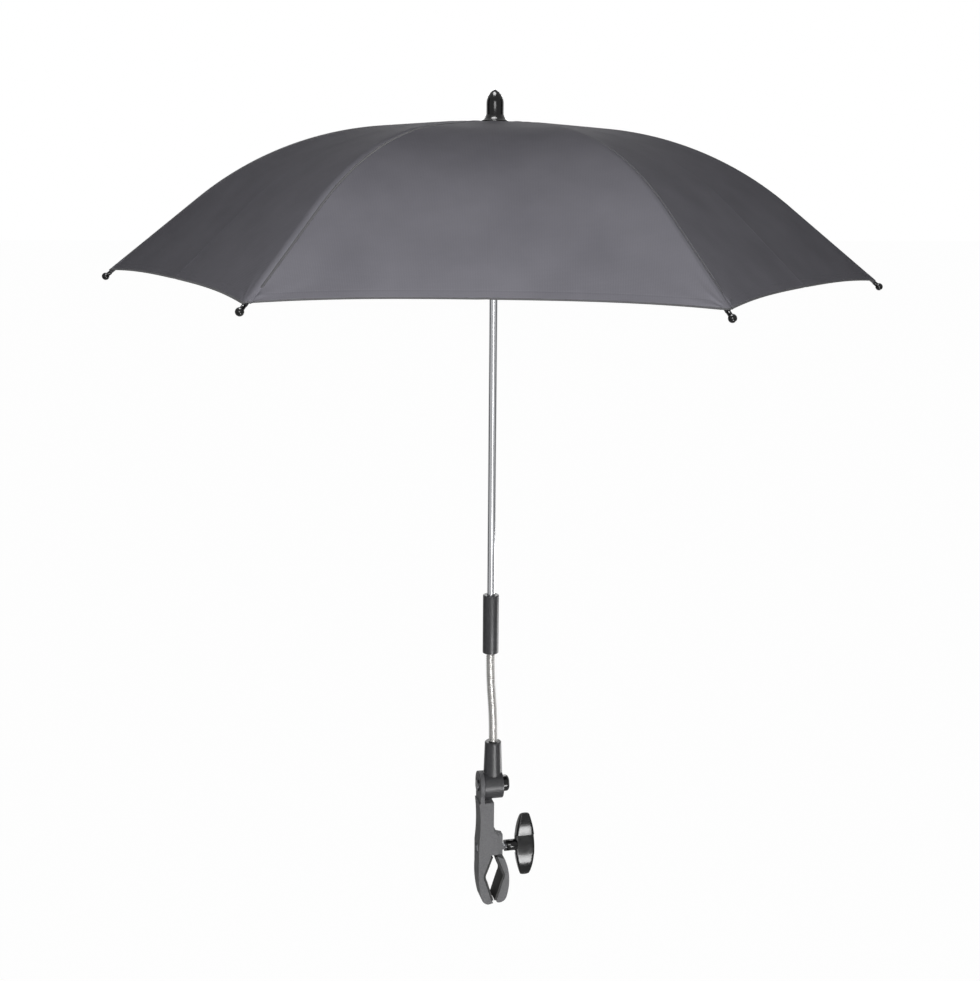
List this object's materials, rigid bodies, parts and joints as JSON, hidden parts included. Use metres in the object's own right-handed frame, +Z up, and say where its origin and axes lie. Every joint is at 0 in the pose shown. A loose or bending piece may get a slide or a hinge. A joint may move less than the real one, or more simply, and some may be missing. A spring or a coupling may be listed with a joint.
{
  "type": "pram parasol",
  "caption": "Folding parasol with a dark woven canopy on a chromed pole, a bendable neck, a tilting socket and a screw clamp for the push bar of a pram.",
  "frame": {"origin": "centre of the bar that the clamp grips, halfway along the jaws", "axes": "+Z up the pole, +Y along the gripped bar, +X towards the wing knob"},
  "size_m": [0.7446, 0.7378, 0.843],
  "materials": {
    "canopy_cloth": "plain woven polyester",
    "clamp_plastic": "fine textured",
    "sleeve_plastic": "satin",
    "hub_plastic": "moulded",
    "gloss_black": "polished",
    "rubber_pad": "matte",
    "chromed_pole": "polished",
    "neck_steel": "nickel plated",
    "rib_steel": "zinc plated",
    "zinc_steel": "zinc plated",
    "spring_steel": "plain"
  },
  "bodies": {
    "clamp": {"clamp_body": "clamp_plastic", "fixed_jaw_pad": "rubber_pad", "clamp_nut": "zinc_steel", "jaw_pivot_pin": "zinc_steel", "tilt_rivet": "zinc_steel"},
    "moving_jaw": {"moving_jaw": "clamp_plastic", "moving_jaw_pad": "rubber_pad"},
    "thrust_washer": {"thrust_washer": "zinc_steel"},
    "wing_knob": {"wing_knob": "gloss_black", "clamp_screw": "zinc_steel"},
    "socket": {"pole_socket": "clamp_plastic", "gooseneck_link_1": "neck_steel", "button_spring": "spring_steel"},
    "lock_button": {"lock_button": "gloss_black"},
    "neck_link_2": {"gooseneck_link_2": "neck_steel"},
    "neck_link_3": {"gooseneck_link_3": "neck_steel"},
    "neck_link_4": {"gooseneck_link_4": "neck_steel"},
    "neck_link_5": {"gooseneck_link_5": "neck_steel"},
    "neck_link_6": {"gooseneck_link_6": "neck_steel"},
    "neck_link_7": {"gooseneck_link_7": "neck_steel"},
    "neck_link_8": {"gooseneck_link_8": "neck_steel"},
    "pole": {"gooseneck_link_9": "neck_steel", "grip_sleeve": "sleeve_plastic", "shaft_tube": "chromed_pole", "top_notch": "hub_plastic", "notch_wire": "spring_steel", "ferrule": "gloss_black", "canopy_crown": "canopy_cloth"},
    "rib_1": {"rib_1": "rib_steel", "rib_tip_1": "gloss_black", "canopy_sector_1": "canopy_cloth"},
    "stretcher_1": {"stretcher_1": "rib_steel"},
    "rib_2": {"rib_2": "rib_steel", "rib_tip_2": "gloss_black", "canopy_sector_2": "canopy_cloth"},
    "stretcher_2": {"stretcher_2": "rib_steel"},
    "rib_3": {"rib_3": "rib_steel", "rib_tip_3": "gloss_black", "canopy_sector_3": "canopy_cloth"},
    "stretcher_3": {"stretcher_3": "rib_steel"},
    "rib_4": {"rib_4": "rib_steel", "rib_tip_4": "gloss_black", "canopy_sector_4": "canopy_cloth"},
    "stretcher_4": {"stretcher_4": "rib_steel"},
    "rib_5": {"rib_5": "rib_steel", "rib_tip_5": "gloss_black", "canopy_sector_5": "canopy_cloth"},
    "stretcher_5": {"stretcher_5": "rib_steel"},
    "rib_6": {"rib_6": "rib_steel", "rib_tip_6": "gloss_black", "canopy_sector_6": "canopy_cloth"},
    "stretcher_6": {"stretcher_6": "rib_steel"},
    "runner": {"runner": "hub_plastic", "runner_wire": "spring_steel", "runner_spring": "spring_steel"},
    "runner_button": {"runner_button": "hub_plastic"}
  },
  "joints": [
    {"name": "screw_feed", "type": "slide", "parent": "clamp", "child": "thrust_washer", "axis": [1, 0, 0], "range_m": [0, 0.003]},
    {"name": "knob_turn", "type": "hinge", "parent": "thrust_washer", "child": "wing_knob", "pos_m": [0.0253, 0, 0.029], "axis": [1, 0, 0], "range_deg": [0, 541]},
    {"name": "jaw_swing", "type": "hinge", "parent": "clamp", "child": "moving_jaw", "pos_m": [0.001, 0, 0.042], "axis": [0, -1, 0], "range_deg": [0, 14.5]},
    {"name": "socket_tilt", "type": "hinge", "parent": "clamp", "child": "socket", "pos_m": [0, 0, 0.1006], "axis": [1, 0, 0], "range_deg": [-90, 90]},
    {"name": "lock_press", "type": "slide", "parent": "socket", "child": "lock_button", "axis": [-1, 0, 0], "range_m": [0, 0.004], "stiffness_N_per_m": 600, "springref_m": -0.002, "deforming": ["button_spring"]},
    {"name": "neck_front_1", "type": "hinge", "parent": "socket", "child": "neck_link_2", "pos_m": [0, 0, 0.15918], "axis": [1, 0, 0], "range_deg": [-14, 14]},
    {"name": "neck_side_1", "type": "hinge", "parent": "neck_link_2", "child": "neck_link_3", "pos_m": [-0.00022, 0, 0.17014], "axis": [0, 1, 0], "range_deg": [-14, 14]},
    {"name": "neck_front_2", "type": "hinge", "parent": "neck_link_3", "child": "neck_link_4", "pos_m": [-0.00066, 0, 0.18111], "axis": [1, 0, 0], "range_deg": [-14, 14]},
    {"name": "neck_side_2", "type": "hinge", "parent": "neck_link_4", "child": "neck_link_5", "pos_m": [-0.00132, 0, 0.19207], "axis": [0, 1, 0], "range_deg": [-14, 14]},
    {"name": "neck_front_3", "type": "hinge", "parent": "neck_link_5", "child": "neck_link_6", "pos_m": [-0.00218, 0, 0.20303], "axis": [1, 0, 0], "range_deg": [-14, 14]},
    {"name": "neck_side_3", "type": "hinge", "parent": "neck_link_6", "child": "neck_link_7", "pos_m": [-0.00284, 0, 0.21399], "axis": [0, 1, 0], "range_deg": [-14, 14]},
    {"name": "neck_front_4", "type": "hinge", "parent": "neck_link_7", "child": "neck_link_8", "pos_m": [-0.00328, 0, 0.22496], "axis": [1, 0, 0], "range_deg": [-14, 14]},
    {"name": "neck_side_4", "type": "hinge", "parent": "neck_link_8", "child": "pole", "pos_m": [-0.0035, 0, 0.23592], "axis": [0, 1, 0], "range_deg": [-14, 14]},
    {"name": "canopy_fold", "type": "hinge", "parent": "pole", "child": "rib_1", "pos_m": [0.00329, -0.00169, 0.777], "axis": [0.2419, 0.9703, 0], "range_deg": [0, 64], "deforming": ["canopy_sector_1"]},
    {"name": "rib_2_fold", "type": "hinge", "parent": "pole", "child": "rib_2", "pos_m": [0.00136, 0.00504, 0.777], "axis": [-0.7193, 0.6947, 0], "range_deg": [0, 64], "deforming": ["canopy_sector_2"]},
    {"name": "rib_3_fold", "type": "hinge", "parent": "pole", "child": "rib_3", "pos_m": [-0.00543, 0.00673, 0.777], "axis": [-0.9613, -0.2756, 0], "range_deg": [0, 64], "deforming": ["canopy_sector_3"]},
    {"name": "rib_4_fold", "type": "hinge", "parent": "pole", "child": "rib_4", "pos_m": [-0.01029, 0.00169, 0.777], "axis": [-0.2419, -0.9703, 0], "range_deg": [0, 64], "deforming": ["canopy_sector_4"]},
    {"name": "rib_5_fold", "type": "hinge", "parent": "pole", "child": "rib_5", "pos_m": [-0.00836, -0.00504, 0.777], "axis": [0.7193, -0.6947, 0], "range_deg": [0, 64], "deforming": ["canopy_sector_5"]},
    {"name": "rib_6_fold", "type": "hinge", "parent": "pole", "child": "rib_6", "pos_m": [-0.00157, -0.00673, 0.777], "axis": [0.9613, 0.2756, 0], "range_deg": [0, 64], "deforming": ["canopy_sector_6"]},
    {"name": "stretcher_1_turn", "type": "hinge", "parent": "rib_1", "child": "stretcher_1", "pos_m": [0.21754, -0.05511, 0.73319], "axis": [0.2419, 0.9703, 0], "range_deg": [-128, 0]},
    {"name": "stretcher_2_turn", "type": "hinge", "parent": "rib_2", "child": "stretcher_2", "pos_m": [0.15475, 0.16387, 0.73319], "axis": [-0.7193, 0.6947, 0], "range_deg": [-128, 0]},
    {"name": "stretcher_3_turn", "type": "hinge", "parent": "rib_3", "child": "stretcher_3", "pos_m": [-0.06629, 0.21899, 0.73319], "axis": [-0.9613, -0.2756, 0], "range_deg": [-128, 0]},
    {"name": "stretcher_4_turn", "type": "hinge", "parent": "rib_4", "child": "stretcher_4", "pos_m": [-0.22454, 0.05511, 0.73319], "axis": [-0.2419, -0.9703, 0], "range_deg": [-128, 0]},
    {"name": "stretcher_5_turn", "type": "hinge", "parent": "rib_5", "child": "stretcher_5", "pos_m": [-0.16175, -0.16387, 0.73319], "axis": [0.7193, -0.6947, 0], "range_deg": [-128, 0]},
    {"name": "stretcher_6_turn", "type": "hinge", "parent": "rib_6", "child": "stretcher_6", "pos_m": [0.05929, -0.21899, 0.73319], "axis": [0.9613, 0.2756, 0], "range_deg": [-128, 0]},
    {"name": "runner_slide_up", "type": "hinge", "parent": "stretcher_1", "child": "runner", "pos_m": [0.00329, -0.00169, 0.68937], "axis": [0.2419, 0.9703, 0], "range_deg": [0, 64]},
    {"name": "runner_release", "type": "slide", "parent": "runner", "child": "runner_button", "axis": [0, 1, 0], "range_m": [0, 0.0015], "stiffness_N_per_m": 500, "springref_m": -0.001, "deforming": ["runner_spring"]}
  ],
  "couplings": [
    {"joint": "knob_turn", "follows": "screw_feed", "rad_per_m": 3141.6},
    {"joint": "jaw_swing", "follows": "screw_feed", "rad_per_m": 83.333},
    {"joint": "rib_2_fold", "follows": "canopy_fold", "ratio": 1},
    {"joint": "rib_3_fold", "follows": "canopy_fold", "ratio": 1},
    {"joint": "rib_4_fold", "follows": "canopy_fold", "ratio": 1},
    {"joint": "rib_5_fold", "follows": "canopy_fold", "ratio": 1},
    {"joint": "rib_6_fold", "follows": "canopy_fold", "ratio": 1},
    {"joint": "stretcher_1_turn", "follows": "canopy_fold", "ratio": -2},
    {"joint": "stretcher_2_turn", "follows": "canopy_fold", "ratio": -2},
    {"joint": "stretcher_3_turn", "follows": "canopy_fold", "ratio": -2},
    {"joint": "stretcher_4_turn", "follows": "canopy_fold", "ratio": -2},
    {"joint": "stretcher_5_turn", "follows": "canopy_fold", "ratio": -2},
    {"joint": "stretcher_6_turn", "follows": "canopy_fold", "ratio": -2},
    {"joint": "runner_slide_up", "follows": "canopy_fold", "ratio": 1}
  ]
}
